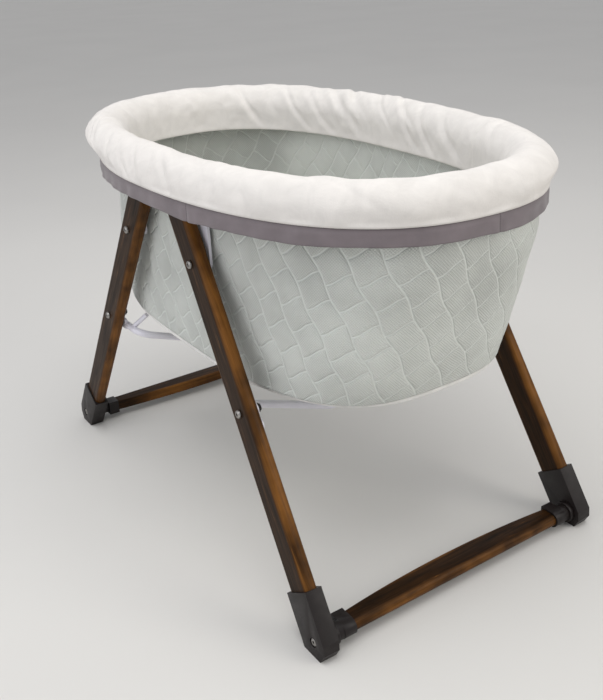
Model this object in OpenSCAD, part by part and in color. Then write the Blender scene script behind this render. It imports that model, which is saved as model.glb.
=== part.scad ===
// Bassinet on a folding wooden stand with turn-over rocker rails.
// Millimetres. X runs along the basket, Y across it, Z is up.
// The origin is on the floor under the middle of the basket.

/* [Basket] */
// half length of the basket's top edge
wall_top_a = 440; // [400:1:442]
// half width of the basket's top edge
wall_top_b = 209.3; // [180:0.1:210]
// half length of the basket's bottom edge
wall_low_a = 363; // [320:1:380]
// half width of the basket's bottom edge
wall_low_b = 210; // [180:1:214]
// height of the bottom edge above the floor
wall_low_z = 308; // [290:1:320]
// height of the fabric wall's top edge
wall_top_z = 570; // [560:1:571]
// thickness of the quilted fabric wall
wall_t = 3; // [2:0.5:5]
// thickness of the mattress pad
pad_t = 30; // [20:1:40]

/* [Rim] */
// half length of the padded rim, centre line of the roll
roll_a = 422.2; // [400:0.1:430]
// half width of the padded rim, centre line of the roll
roll_b = 234.6; // [225:0.1:240]
// half width of the padded roll
roll_w = 35.3; // [32:0.1:38]
// half height of the padded roll
roll_h = 41.6; // [38:0.1:44]
// thickness of the padding
roll_t = 9; // [8:0.5:10]
// height of the roll's centre line
roll_z = 581; // [576:1:586]
// outside diameter of the steel rim tube
rim_tube_d = 14; // [12:0.5:14]
// height of the rim tube's centre line
rim_tube_z = 579; // [578:0.5:582]
// height of the satin band's lower edge
band_low_z = 549.5; // [545:0.5:555]
// half length of the satin band at its lower edge
band_a = 447; // [440:1:452]
// half width of the satin band at its lower edge
band_b = 272.6; // [268:0.1:276]

/* [Legs] */
// distance of each leg's pivot from the middle, along X
pivot_x = 106.7; // [95:0.1:115]
// height of the leg pivots
pivot_z = 470.8; // [460:0.1:480]
// lean of the legs from upright, degrees
lean = 33.25; // [30:0.01:36]
// outward splay of the legs across the basket, degrees
splay = 2.13; // [1.5:0.01:3]
// outer face of the legs at floor level, from the middle
foot_y = 258; // [250:0.5:265]
// width of the leg board
leg_w = 49; // [44:1:52]
// thickness of the leg board
leg_t = 20; // [18:0.5:24]
// edge rounding of the leg board
leg_r = 8; // [4:0.5:9]

/* [Cross tubes] */
// outside diameter of the cross tubes
tube_d = 12; // [10:0.5:14]
// height of the cross tube at the legs
tube_z = 268; // [264:1:280]
// height of the lowered middle of the cross tube
tube_low_z = 205; // [200:1:224]
// distance of the cross tube from the middle, along X
tube_x = 158; // [150:1:165]

/* [Rocker rails] */
// height of the rail's turning axis
rail_z = 22; // [20:0.5:26]
// distance of the rail's turning axis from the middle
rail_x = 404; // [400:1:408]
// half length of the wooden rail
rail_half = 203; // [198:1:206]
// thickness of the rail
rail_t = 20; // [18:0.5:24]
// width of the rail on the crowned side of its axis, at the ends
rail_end = 17; // [15:0.5:24]
// rise of the crowned edge at mid length
rail_crown = 11; // [8:1:22]

/* [Fasteners] */
// bolt diameter at the leg pivots and cross tubes
bolt_d = 6; // [5:0.5:8]
// diameter of the rail pivot bolts
rail_bolt_d = 8; // [6:0.5:10]
// radial running clearance at the pivots
run_c = 0.05; // [0.02:0.01:0.1]

/* [Hidden] */
$fn = 48;
seg = 96;
sup_top = 2.5;
sup_low = 3.1;
half_chord = 197;
rail_r = (half_chord * half_chord + rail_crown * rail_crown) / (2 * rail_crown);
plate_y = 216.5;
plate_t = 4;
rim_b = 217.4;
foot_x = pivot_x + pivot_z * tan(lean);
mid_d = 217.8;
mid_x = pivot_x + mid_d * sin(lean);
mid_z = pivot_z - mid_d * cos(lean);
drop = 20;
tube_y = 221;
plate_w = 26;
boot_hw = 27;
bend_r = 25;
dip_r = 60;
slope_len = (tube_z - tube_low_z - dip_r * (1 - cos(drop))) / sin(drop) - bend_r;
dip_y = tube_y - (bend_r + slope_len) * cos(drop) - dip_r * sin(drop);

// ---- shared shapes ----

function sg(v) = v < 0 ? -1 : 1;
function oval(a, b, n) = [for (i = [0 : seg - 1])
  let (c = cos(360 * i / seg), s = sin(360 * i / seg))
  [a * sg(c) * pow(abs(c), 2 / n), b * sg(s) * pow(abs(s), 2 / n)]];

// closed loop lofted through oval rings [a, b, n, z]
module loop(rings) {
  k = len(rings);
  ovals = [for (r = rings) oval(r[0], r[1], r[2])];
  pts = [for (i = [0 : seg - 1]) for (j = [0 : k - 1])
    [ovals[j][i][0], ovals[j][i][1], rings[j][3]]];
  fcs = [for (i = [0 : seg - 1]) for (j = [0 : k - 1])
    let (p = (i + 1) % seg, q = (j + 1) % k)
    [i * k + j, i * k + q, p * k + q, p * k + j]];
  polyhedron(points = pts, faces = fcs, convexity = 6);
}

// round hoop that follows an oval
module hoop(a, b, n, z, r, k) {
  loop([for (j = [0 : k - 1]) [a + r * cos(360 * j / k),
    b + r * cos(360 * j / k), n, z + r * sin(360 * j / k)]]);
}

// rod along Y from y0 to y1
module rod_y(x, z, y0, y1, d) {
  translate([x, y1, z]) rotate([90, 0, 0]) cylinder(d = d, h = y1 - y0);
}

// the four places of a pivot, two at each side
module four() {
  for (sx = [0, 1]) {
    for (sy = [0, 1]) {
      mirror([sx, 0, 0]) mirror([0, sy, 0]) children();
    }
  }
}

module two() {
  children();
  mirror([0, 1, 0]) children();
}

// ---- leg frame, drawn for the +X end and the -Y side ----

module tilted() {
  translate([0, -foot_y, 0]) rotate([-splay, 0, 0]) children();
}

module leg_section(g) {
  r = leg_r;
  translate([-leg_w / 2 - g, r]) square([leg_w + 2 * g, leg_t - 2 * r]);
  translate([-leg_w / 2 + r, -g]) square([leg_w - 2 * r, leg_t + 2 * g]);
  for (x = [-leg_w / 2 + r, leg_w / 2 - r]) {
    for (y = [r, leg_t - r]) {
      translate([x, y]) circle(r = r + g);
    }
  }
}

module leg_bar(g, low, high) {
  translate([pivot_x, 0, pivot_z]) rotate([0, -lean, 0])
    translate([0, 0, low]) linear_extrude(height = high - low) leg_section(g);
}

module leg() {
  difference() {
    tilted() {
      intersection() {
        leg_bar(0, -546, 96);
        translate([pivot_x, 0, pivot_z]) rotate([0, -lean, 0]) {
          translate([-35, -5, -600]) cube([70, leg_t + 10, 666]);
          translate([0, leg_t + 5, 66]) rotate([90, 0, 0]) cylinder(d = leg_w, h = leg_t + 10);
        }
      }
    }
    rod_y(pivot_x, pivot_z, -275, -190, bolt_d + 2 * run_c);
    rod_y(mid_x, mid_z, -275, -190, bolt_d + 2 * run_c);
    rod_y(rail_x, rail_z, -275, -190, rail_bolt_d + 2 * run_c);
    rod_y(rail_x, rail_z, -275, -256.6, 14);
  }
}

module boot_outline() {
  polygon([[341.6, 63.4], [386.8, 93], [428, 30], [429, 15], [419, -3],
    [385, -3], [379.5, 6]]);
}

module boot() {
  difference() {
    intersection() {
      tilted() translate([0, leg_t + 3, 0]) rotate([90, 0, 0])
        linear_extrude(height = leg_t + 6) boot_outline();
      translate([300, -300, 0]) cube([200, 150, 200]);
    }
    tilted() leg_bar(0.1, -547, -400);
    rod_y(rail_x, rail_z, -275, -190, rail_bolt_d + 2 * run_c);
    rod_y(rail_x, rail_z, -275, -256.6, 14);
  }
}

module swivel_disc() {
  difference() {
    rod_y(rail_x, rail_z, -240, -226, 34);
    tilted() translate([300, -5, -50]) cube([200, leg_t + 8, 200]);
    rod_y(rail_x, rail_z, -245, -190, rail_bolt_d + 2 * run_c);
  }
}

module rail_bolt() {
  rod_y(rail_x, rail_z, -259.8, -256.7, 13);
  rod_y(rail_x, rail_z, -256.7, -208, rail_bolt_d);
}

module pivot_bolt() {
  rod_y(pivot_x, pivot_z, -244.9, -240.9, 12);
  rod_y(pivot_x, pivot_z, -240.9, -209.9, bolt_d);
}

module mid_bolt() {
  rod_y(mid_x, mid_z, -251.7, -247.7, 12);
  rod_y(mid_x, mid_z, -247.7, -218, bolt_d);
}

module mid_nut() {
  difference() {
    union() {
      rod_y(mid_x, mid_z, -222, -217, 14);
      rod_y(mid_x, mid_z, -217, -214.5, 10);
    }
    rod_y(mid_x, mid_z, -223, -217.9, bolt_d);
  }
}

// unit vector and cross product helpers for the bent tube
function unit(v) = v / norm(v);

// path of the tube's near half: level run, elbow, slope, then the dip
half_path = concat(
  [[mid_x - 9, -tube_y, tube_z], [tube_x + bend_r, -tube_y, tube_z]],
  [for (k = [1 : 7]) let (a = 270 - 90 * k / 7, v = bend_r + bend_r * sin(a))
    [tube_x + bend_r + bend_r * cos(a), -tube_y + v * cos(drop), tube_z - v * sin(drop)]],
  [for (k = [0 : 4]) let (a = 270 - drop + drop * k / 4)
    [tube_x, -dip_y + dip_r * cos(a), tube_low_z + dip_r + dip_r * sin(a)]]);
tube_path = concat(half_path,
  [for (k = [len(half_path) - 1 : -1 : 0]) [half_path[k][0], -half_path[k][1], half_path[k][2]]]);

// round bar swept along a list of points that never runs straight up
module sweep(path, r, k) {
  n = len(path);
  pts = [for (i = [0 : n - 1])
    let (t = unit(path[min(i + 1, n - 1)] - path[max(i - 1, 0)]),
      e = unit(cross(t, [0, 0, 1])), u = cross(e, t))
    for (j = [0 : k - 1]) path[i] + r * (cos(360 * j / k) * e + sin(360 * j / k) * u)];
  sides = [for (i = [0 : n - 2]) for (j = [0 : k - 1]) let (q = (j + 1) % k)
    [i * k + j, i * k + q, (i + 1) * k + q, (i + 1) * k + j]];
  ends = [[for (j = [k - 1 : -1 : 0]) j], [for (j = [0 : k - 1]) (n - 1) * k + j]];
  polyhedron(points = pts, faces = concat(sides, ends), convexity = 8);
}

// flattened end with the bolt hole
module tube_end() {
  difference() {
    union() {
      rod_y(mid_x, mid_z, -226.6, -222.1, 24);
      translate([mid_x - 18, -226.6, tube_z - 6]) cube([32, 4.5, 18]);
      rod_y(mid_x + 14, tube_z + 3, -226.6, -222.1, 18);
    }
    rod_y(mid_x, mid_z, -235, -210, bolt_d + 2 * run_c);
  }
}

module cross_tube() {
  sweep(tube_path, tube_d / 2, 16);
  two() tube_end();
}

module tube_post() {
  difference() {
    translate([192, -tube_y, tube_z]) rotate([0, -49, -30]) cylinder(d = 8, h = 46);
    translate([150, -tube_y, tube_z]) rotate([0, 90, 0]) cylinder(d = tube_d + 0.1, h = 80);
  }
}

// ---- rocker rail with its collars, at the +X end ----

module rail() {
  translate([rail_x, 0, rail_z]) {
    translate([0, 0, -rail_t / 2]) linear_extrude(height = rail_t) {
      intersection() {
        translate([-rail_end - rail_crown, -rail_half])
          square([rail_end + rail_crown + 2, 2 * rail_half]);
        translate([rail_r - rail_end - rail_crown, 0]) circle(r = rail_r, $fn = 720);
      }
    }
    translate([2, rail_half, 0]) rotate([90, 0, 0]) cylinder(d = rail_t, h = 2 * rail_half);
  }
}

module collar_profile(g) {
  translate([-rail_end - g, -rail_t / 2 - g]) square([rail_end + 2 + g, rail_t + 2 * g]);
  translate([2, 0]) circle(r = rail_t / 2 + g);
}

module collar() {
  translate([rail_x, 0, rail_z]) difference() {
    union() {
      translate([0, -197, 0]) rotate([90, 0, 0]) linear_extrude(height = 20) collar_profile(3);
      translate([0, -216, 0]) rotate([90, 0, 0]) cylinder(d = 28, h = 9.5);
    }
    translate([0, -190, 0]) rotate([90, 0, 0]) linear_extrude(height = rail_half - 189.9)
      collar_profile(0.1);
    rod_y(0, 0, -240, -195, rail_bolt_d + 2 * run_c);
  }
}

// ---- basket and rim ----

module rim_tube() {
  color([0.83, 0.82, 0.86]) hoop(409, rim_b, sup_top, rim_tube_z, rim_tube_d / 2, 14);
}

module hanger_plates() {
  color([0.83, 0.82, 0.86]) four() difference() {
    union() {
      translate([pivot_x - plate_w / 2, -plate_y, pivot_z]) cube([plate_w, plate_t, 101]);
      rod_y(pivot_x, pivot_z, -plate_y, -plate_y + plate_t, plate_w);
    }
    rod_y(pivot_x, pivot_z, -225, -195, bolt_d + 0.02);
  }
}

module pivot_bolts() {
  color([0.62, 0.62, 0.62]) four() pivot_bolt();
}

module pivot_nuts() {
  color([0.62, 0.62, 0.62]) four() difference() {
    rod_y(pivot_x, pivot_z, -212.5, -209.6, 13);
    rod_y(pivot_x, pivot_z, -225, -209.9, bolt_d + 0.02);
  }
}

module pivot_spacers() {
  color([0.15, 0.13, 0.13]) four() difference() {
    rod_y(pivot_x, pivot_z, -219.8, -216.6, 18);
    rod_y(pivot_x, pivot_z, -225, -195, bolt_d + 0.02);
  }
}

module basket_wall() {
  h = wall_top_z - wall_low_z;
  da = wall_top_a - wall_low_a;
  st = [[0, 0, wall_low_b, 3.1], [0.08, 0.11, wall_low_b - 0.1, 3.06],
    [0.3, 0.35, wall_low_b - 0.3, 2.95], [0.58, 0.63, wall_top_b + 0.2, 2.85],
    [0.85, 0.88, wall_top_b, 2.75], [1, 1, wall_top_b, 2.7]];
  outer = [for (s = st) [wall_low_a + da * s[1], s[2], s[3], wall_low_z + h * s[0]]];
  inner = [for (i = [5 : -1 : 0]) let (s = outer[i])
    [s[0] - wall_t, s[1] - wall_t, s[2], s[3]]];
  color([0.72, 0.75, 0.72]) loop(concat(outer, inner));
}

module bottom_piping() {
  color([0.93, 0.92, 0.9]) hoop(wall_low_a, wall_low_b, sup_low, wall_low_z - 2.6, 2.5, 8);
}

module bottom_panel() {
  color([0.7, 0.73, 0.7]) translate([0, 0, wall_low_z])
    linear_extrude(height = 3) polygon(oval(wall_low_a - 3.4, wall_low_b - 3.4, sup_low));
}

module base_hoop() {
  color([0.83, 0.82, 0.86])
    hoop(wall_low_a - 8, wall_low_b - 8, sup_low, wall_low_z + 7.2, 4, 8);
}

module base_board() {
  color([0.45, 0.4, 0.33]) translate([0, 0, wall_low_z + 3.2])
    linear_extrude(height = 5) polygon(oval(wall_low_a - 13, wall_low_b - 13, sup_low));
}

module mattress_pad() {
  a = wall_low_a - 9;
  b = wall_low_b - 11;
  z = wall_low_z + 11.6;
  color([0.9, 0.9, 0.88]) {
    translate([0, 0, z]) linear_extrude(height = pad_t) polygon(oval(a - 2, b - 2, sup_low));
  }
}

module rim_band() {
  color([0.54, 0.51, 0.53]) loop([
    [band_a, band_b, sup_top, band_low_z],
    [band_a + 2, band_b - 1, sup_top, 562],
    [band_a + 4, band_b - 2.4, sup_top, 573.5],
    [band_a + 1.5, band_b - 4.9, sup_top, 573.5],
    [band_a - 0.5, band_b - 3.5, sup_top, 562],
    [band_a - 2.5, band_b - 2.5, sup_top, band_low_z]]);
}

module plush_rim() {
  // cross-section like an upside-down U, from the outer lip over to the inner
  wi = roll_w - roll_t + 1.6;
  hi = roll_h - roll_t;
  a0 = -6;
  a1 = asin(-roll_h * sin(6) / hi);
  arc_o = [for (k = [0 : 12]) let (a = a0 + (180 - a0) * k / 12)
    [roll_w * cos(a), roll_h * sin(a)]];
  arc_i = [for (k = [0 : 8]) let (a = 172 + (a1 - 172) * k / 8) [wi * cos(a), hi * sin(a)]];
  lip = [[-roll_w + 0.4, -36], [-roll_w + 3.9, -36]];
  sec = concat(arc_o, lip, arc_i);
  color([0.91, 0.9, 0.88])
    loop([for (p = sec) [roll_a + p[0], roll_b + p[0], sup_top, roll_z + p[1]]]);
}

// ---- the two leg frames ----

module wood() {
  color([0.3, 0.19, 0.11]) children();
}

module dark() {
  color([0.17, 0.14, 0.14]) children();
}

module steel() {
  color([0.62, 0.62, 0.62]) children();
}

module white() {
  color([0.83, 0.82, 0.86]) children();
}

module leg_head_left() { wood() leg(); }
module leg_head_right() { wood() mirror([0, 1, 0]) leg(); }
module boot_head_left() { dark() boot(); }
module boot_head_right() { dark() mirror([0, 1, 0]) boot(); }
module cross_tube_head() { white() cross_tube(); }
module tube_posts_head() { white() two() tube_post(); }
module mid_bolts_head() { steel() two() mid_bolt(); }
module mid_nuts_head() { dark() two() mid_nut(); }
module swivel_discs_head() { dark() two() swivel_disc(); }
module rail_bolts_head() { steel() two() rail_bolt(); }
module rail_head() { wood() rail(); }
module collars_head() { dark() two() collar(); }

module leg_foot_left() { mirror([1, 0, 0]) leg_head_left(); }
module leg_foot_right() { mirror([1, 0, 0]) leg_head_right(); }
module boot_foot_left() { mirror([1, 0, 0]) boot_head_left(); }
module boot_foot_right() { mirror([1, 0, 0]) boot_head_right(); }
module cross_tube_foot() { mirror([1, 0, 0]) cross_tube_head(); }
module tube_posts_foot() { mirror([1, 0, 0]) tube_posts_head(); }
module mid_bolts_foot() { mirror([1, 0, 0]) mid_bolts_head(); }
module mid_nuts_foot() { mirror([1, 0, 0]) mid_nuts_head(); }
module swivel_discs_foot() { mirror([1, 0, 0]) swivel_discs_head(); }
module rail_bolts_foot() { mirror([1, 0, 0]) rail_bolts_head(); }
module rail_foot() { mirror([1, 0, 0]) rail_head(); }
module collars_foot() { mirror([1, 0, 0]) collars_head(); }

rim_tube();
hanger_plates();
pivot_bolts();
pivot_nuts();
pivot_spacers();
basket_wall();
bottom_piping();
bottom_panel();
base_hoop();
base_board();
mattress_pad();
rim_band();
plush_rim();
leg_head_left();
leg_head_right();
boot_head_left();
boot_head_right();
cross_tube_head();
tube_posts_head();
mid_bolts_head();
mid_nuts_head();
swivel_discs_head();
rail_bolts_head();
rail_head();
collars_head();
leg_foot_left();
leg_foot_right();
boot_foot_left();
boot_foot_right();
cross_tube_foot();
tube_posts_foot();
mid_bolts_foot();
mid_nuts_foot();
swivel_discs_foot();
rail_bolts_foot();
rail_foot();
collars_foot();
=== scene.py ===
"""Oval bassinet on a folding wooden stand: the soft goods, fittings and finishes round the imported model."""

import math

import bmesh
import bpy
import numpy as np
from mathutils import Matrix, Vector


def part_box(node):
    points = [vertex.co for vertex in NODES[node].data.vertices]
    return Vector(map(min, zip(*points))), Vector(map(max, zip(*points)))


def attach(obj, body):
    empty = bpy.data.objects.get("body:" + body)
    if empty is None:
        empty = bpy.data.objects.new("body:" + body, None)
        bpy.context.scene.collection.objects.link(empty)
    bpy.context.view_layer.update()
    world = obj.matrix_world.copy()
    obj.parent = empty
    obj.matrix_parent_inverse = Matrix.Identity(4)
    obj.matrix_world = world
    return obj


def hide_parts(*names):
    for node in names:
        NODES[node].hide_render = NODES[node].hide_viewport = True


bl_info = {
    "name": "Bassinet on stand",
    "version": (1, 0, 0),
    "blender": (4, 5, 0),
    "location": "3D View > Sidebar > Bassinet",
    "description": "Builds the cloth parts, pad, bolts and finishes of a bassinet on a folding stand",
    "category": "Object",
}

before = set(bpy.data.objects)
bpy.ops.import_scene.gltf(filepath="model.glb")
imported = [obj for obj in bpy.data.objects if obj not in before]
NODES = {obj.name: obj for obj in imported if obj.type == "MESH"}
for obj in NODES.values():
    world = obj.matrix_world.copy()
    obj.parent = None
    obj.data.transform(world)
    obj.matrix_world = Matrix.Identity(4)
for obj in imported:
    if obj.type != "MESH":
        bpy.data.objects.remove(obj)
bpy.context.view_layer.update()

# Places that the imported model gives, in metres.
ROLL_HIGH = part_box("plush_rim")[1]
BAND_LOW, BAND_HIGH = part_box("rim_band")
WALL_LOW, WALL_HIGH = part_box("basket_wall")
PAD_LOW, PAD_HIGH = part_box("mattress_pad")
PANEL_LOW, PANEL_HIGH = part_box("bottom_panel")
BINDING_LOW, BINDING_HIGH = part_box("bottom_piping")

# The cloth rim is rounder and a little shorter towards -X than towards +X.
RIM_SQUARE = (2.5, 2.42)
BAND_LONG = (0.4546, 0.4239)
BAND_WIDE = 0.2707
BAND_SQUARE = (2.44, 1.91, 2.2)
TAU = 2 * math.pi
# Squareness of the basket's bottom, shared by the binding, the panel and the pad.
BOTTOM_SQUARE = 2.9
# The made wall: half length and half width at the bottom, spread of each end up to the band, and how far the
# -X end is drawn in again to stay behind the band.
WALL_LONG, WALL_WIDE, WALL_SPREAD, WALL_DRAW = 0.363, 0.2105, 0.0854, 0.033
# The legs' lean from upright, the pivot they fold about as (x, z), and half their width.
LEG_LEAN, LEG_PIVOT, LEG_HALF = math.radians(33.25), (0.1067, 0.4708), 0.0245


def linear(code):
    """An sRGB hex colour as linear red, green, blue and alpha."""
    value = np.array([int(code[k : k + 2], 16) for k in (1, 3, 5)]) / 255
    value = np.where(value <= 0.04045, value / 12.92, ((value + 0.055) / 1.055) ** 2.4)
    return (*(float(c) for c in value), 1.0)


# ---------------------------------------------------------------- settings


def colour(name, text, code):
    """A colour setting, whose default is an sRGB hex code."""
    return bpy.props.FloatVectorProperty(
        name=name, description=text, subtype="COLOR", size=4, min=0, max=1, default=linear(code)
    )


def distance(name, text, default, low, high):
    """A length setting in metres."""
    return bpy.props.FloatProperty(
        name=name, description=text, subtype="DISTANCE", unit="LENGTH", default=default, min=low, max=high
    )


class BassinetClothSettings(bpy.types.PropertyGroup):
    """Sizes and colours of the cloth parts."""

    plush: colour("Plush", "Colour of the short-pile plush on the rim", "#e4e0db")
    band: colour("Satin band", "Colour of the satin band under the rim", "#7b7275")
    knit: colour("Quilted knit", "Colour of the quilted spacer knit", "#ced1cb")
    cell_across: distance("Cell width", "Distance between the long quilting lines", 0.039, 0.02, 0.1)
    cell_along: distance("Cell length", "Distance between the short quilting lines", 0.041, 0.02, 0.1)
    cell_turn: bpy.props.FloatProperty(
        name="Quilting turn", description="Turn of the long quilting lines from upright", subtype="ANGLE",
        unit="ROTATION", default=math.radians(33)
    )
    pillow: distance("Pillow height", "Rise of each quilted cell above its lines", 0.0036, 0, 0.005)
    rib: distance("Knit rib", "Distance between the ribs of the knit", 0.0028, 0.001, 0.01)
    fold_depth: distance("Fold depth", "Depth of the deepest gathers in the plush", 0.0052, 0, 0.01)


class BassinetStandSettings(bpy.types.PropertyGroup):
    """Finishes of the stand."""

    stain_dark: colour("Dark stain", "Colour of the stain in the wood's pores", "#0d0805")
    stain_mid: colour("Stain", "Colour of the stained flats", "#271708")
    # the rubbed stain colour also paints the highlight on the eased edges of the legs and rails
    stain_rub_and_highlight: colour("Rubbed stain", "Colour where the stain is rubbed thin", "#95622c")
    steel: colour("Painted steel", "Colour of the painted tubes", "#e9e7f0")
    boot: colour("Moulded plastic", "Colour of the boots and collars", "#1c1615")
    ease: distance("Edge ease", "Rounding on the moulded boots' edges", 0.0018, 0, 0.004)


class BassinetStageSettings(bpy.types.PropertyGroup):
    """Floor and light."""

    floor: colour("Floor", "Colour of the plain floor", "#d9d7d3")
    key: bpy.props.FloatProperty(
        name="Key light", description="Power of the large soft light overhead, in watts", default=46.0, min=0
    )
    side: bpy.props.FloatProperty(
        name="Side light", description="Power of the window-like light at the side, in watts", default=26.0,
        min=0
    )
    lens: bpy.props.FloatProperty(
        name="Lens", description="Focal length of the camera, in millimetres", default=53.44, min=20, max=200
    )


# ---------------------------------------------------------------- shapes


def oval(a, b, n, t):
    """Superellipse: x is a times the signed 2/n power of cos t, y is b times the signed 2/n power of sin t.
    a and n may each be a pair, for the +X and the -X half, and n may have a third value for the +X, +Y
    quarter."""
    c, s = np.cos(t), np.sin(t)
    if isinstance(a, tuple):
        a = np.where(c > 0, a[0], a[1])
    if isinstance(n, tuple):
        n = np.where(c > 0, np.where(s > 0, n[-1] if len(n) > 2 else n[0], n[0]), n[1])
    return np.sign(c) * a * np.abs(c) ** (2 / n), np.sign(s) * b * np.abs(s) ** (2 / n)


def even_turn(a, b, n, count, start=0.0):
    """Angles of count points a like distance apart round an oval, beginning at the angle start, and the
    length of the oval."""
    t = np.linspace(start, start + TAU, 20001)
    x, y = oval(a, b, n, t)
    run = np.concatenate([[0.0], np.cumsum(np.hypot(np.diff(x), np.diff(y)))])
    return np.interp(np.arange(count) / count * run[-1], run, t), run[-1]


def smooth(x, low, high):
    """Smoothstep: 0 below low, 1 above high, 3 k^2 - 2 k^3 between."""
    k = np.clip((x - low) / (high - low), 0, 1)
    return k * k * (3 - 2 * k)


def grid(points, wrap_u, wrap_v, u, v):
    """One grid of points, indexed (u, v), with its faces and texture places. A wrapped direction joins its
    end to its start."""
    nu, nv = points.shape[:2]
    i, j = np.broadcast_arrays(
        np.arange(nu if wrap_u else nu - 1)[:, None], np.arange(nv if wrap_v else nv - 1)[None, :]
    )
    corners = ((i, j), (i + 1, j), (i + 1, j + 1), (i, j + 1))
    faces = np.stack([(a % nu) * nv + b % nv for a, b in corners], -1).reshape(-1, 4)
    places = np.stack([np.stack([u[a], v[b]], -1) for a, b in corners], -2).reshape(-1, 4, 2)
    flat = points.reshape(-1, 3)
    p = flat[faces]
    volume = np.einsum("ij,ij->", p[:, 0], np.cross(p[:, 1], p[:, 2]) + np.cross(p[:, 2], p[:, 3]))
    if volume < 0:
        faces, places = faces[:, ::-1], places[:, ::-1]
    return flat, faces, places


def skin(name, grids, merge=0.0):
    """A mesh object of one or more grids, smooth, with a UV map. merge closes poles and seams nearer than
    that distance."""
    start, flats, faces, places = 0, [], [], []
    for flat, face, place in grids:
        flats.append(flat)
        faces.append(face + start)
        places.append(place)
        start += len(flat)
    mesh = bpy.data.meshes.new(name)
    mesh.from_pydata(np.concatenate(flats), [], np.concatenate(faces))
    layer = mesh.uv_layers.new(name="cloth")
    layer.data.foreach_set("uv", np.concatenate(places).astype(np.float32).ravel())
    if merge:
        work = bmesh.new()
        work.from_mesh(mesh)
        bmesh.ops.remove_doubles(work, verts=work.verts, dist=merge)
        bmesh.ops.recalc_face_normals(work, faces=work.faces)
        work.to_mesh(mesh)
        work.free()
    mesh.polygons.foreach_set("use_smooth", np.ones(len(mesh.polygons), bool))
    mesh.update()
    piece = bpy.data.objects.new(name, mesh)
    bpy.context.scene.collection.objects.link(piece)
    return piece


def set_out(piece, body, slot, finish, *nodes):
    """Puts a finished piece on its body, in place of the CAD nodes, with its material."""
    piece.data.materials.clear()
    piece.data.materials.append(finish)
    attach(piece, body)
    if nodes:
        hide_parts(*nodes)
    return piece


def lumps(x, y, seed, count, low, high):
    """Sum of count sine waves in x and y with seeded directions and phases, wavelengths from low to high,
    about -1 to 1."""
    rng = np.random.default_rng(seed)
    total = np.zeros(np.broadcast(x, y).shape)
    for length, way, phase in zip(
        rng.uniform(low, high, count), rng.uniform(0, math.pi, count), rng.uniform(0, TAU, count)
    ):
        total += np.sin(TAU * (x * math.cos(way) + y * math.sin(way)) / length + phase)
    return total / math.sqrt(count)


def quilt(u, v, cloth):
    """Distance from the nearest quilting line. In axes turned by the quilting turn, long wavy lines run at
    every cell width, and short lines cross between them at every cell length, moved by half a cell in each
    second row."""
    turn = cloth.cell_turn
    p = u * math.cos(turn) + v * math.sin(turn)
    q = -u * math.sin(turn) + v * math.cos(turn)
    p = p + 0.002 * np.sin(TAU * q / (2 * cloth.cell_along))
    row = np.floor(p / cloth.cell_across)
    far = np.abs(p / cloth.cell_across - np.round(p / cloth.cell_across)) * cloth.cell_across
    q = q + 0.5 * cloth.cell_along * np.mod(row, 2) + 0.0012 * np.sin(TAU * p / cloth.cell_across)
    return np.minimum(far, np.abs(q / cloth.cell_along - np.round(q / cloth.cell_along)) * cloth.cell_along)


# ---------------------------------------------------------------- materials

# Node kinds that are used often.
NOISE, RAMP, COORDINATES = "ShaderNodeTexNoise", "ShaderNodeValToRGB", "ShaderNodeTexCoord"


def add(tree, kind, put=None, feed=None, **settings):
    """Adds one node: settings are its own, put gives values for its sockets, and feed gives what leads into
    them."""
    node = tree.nodes.new(kind)
    for key, value in settings.items():
        setattr(node, key, value)
    for key, value in (put or {}).items():
        node.inputs[key].default_value = value
    for key, value in (feed or {}).items():
        tree.links.new(value, node.inputs[key])
    return node


def maths(tree, operation, *terms):
    """The result of one operation, each of whose terms is a number or another node's output."""
    node = add(tree, "ShaderNodeMath", operation=operation)
    for socket, term in zip(node.inputs, terms):
        if isinstance(term, (int, float)):
            socket.default_value = term
        else:
            tree.links.new(term, socket)
    return node.outputs["Value"]


def spread(tree, value, low, high, start=0.0, end=1.0, eased=False):
    """A value between low and high, led over to between start and end and held there, eased if asked."""
    put = {"From Min": low, "From Max": high, "To Min": start, "To Max": end}
    kind = "SMOOTHSTEP" if eased else "LINEAR"
    return add(tree, "ShaderNodeMapRange", put, {"Value": value}, interpolation_type=kind).outputs["Result"]


def new_finish(name, **shader):
    """An empty material of that name with a Principled shader, whose constant sockets are given by their
    names."""
    material = bpy.data.materials.new(name)
    material.use_nodes = True
    tree = material.node_tree
    tree.nodes.clear()
    body = add(
        tree, "ShaderNodeBsdfPrincipled", {key.replace("_", " "): value for key, value in shader.items()}
    )
    add(tree, "ShaderNodeOutputMaterial", feed={"Surface": body.outputs["BSDF"]})
    return material, tree, body


def ramp(node, stops):
    """Sets a colour ramp's stops, given as (place, colour)."""
    marks = node.color_ramp.elements
    while len(marks) < len(stops):
        marks.new(0.5)
    for mark, (place, colour) in zip(marks, stops):
        mark.position, mark.color = place, colour
    return node


def shade(colour, by):
    """The colour, made lighter or darker by a factor."""
    return (*(min(1.0, c * by) for c in tuple(colour)[:3]), 1.0)


def mottled(tree, body, stops, **noise):
    """Gives a shader a colour that follows a noise in object coordinates, by the ramp's stops. Returns the
    coordinates and the noise, for what else depends on them."""
    place = add(tree, COORDINATES).outputs["Object"]
    cloud = add(tree, NOISE, noise, {"Vector": place}).outputs["Fac"]
    tone = ramp(add(tree, RAMP, feed={"Fac": cloud}), stops)
    tree.links.new(tone.outputs["Color"], body.inputs["Base Color"])
    return place, cloud


def relief(tree, body, height, strength, depth):
    """Leads a height into a shader's normal, with a depth in metres."""
    bump = add(tree, "ShaderNodeBump", {"Strength": strength, "Distance": depth}, {"Height": height})
    tree.links.new(bump.outputs["Normal"], body.inputs["Normal"])


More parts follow.
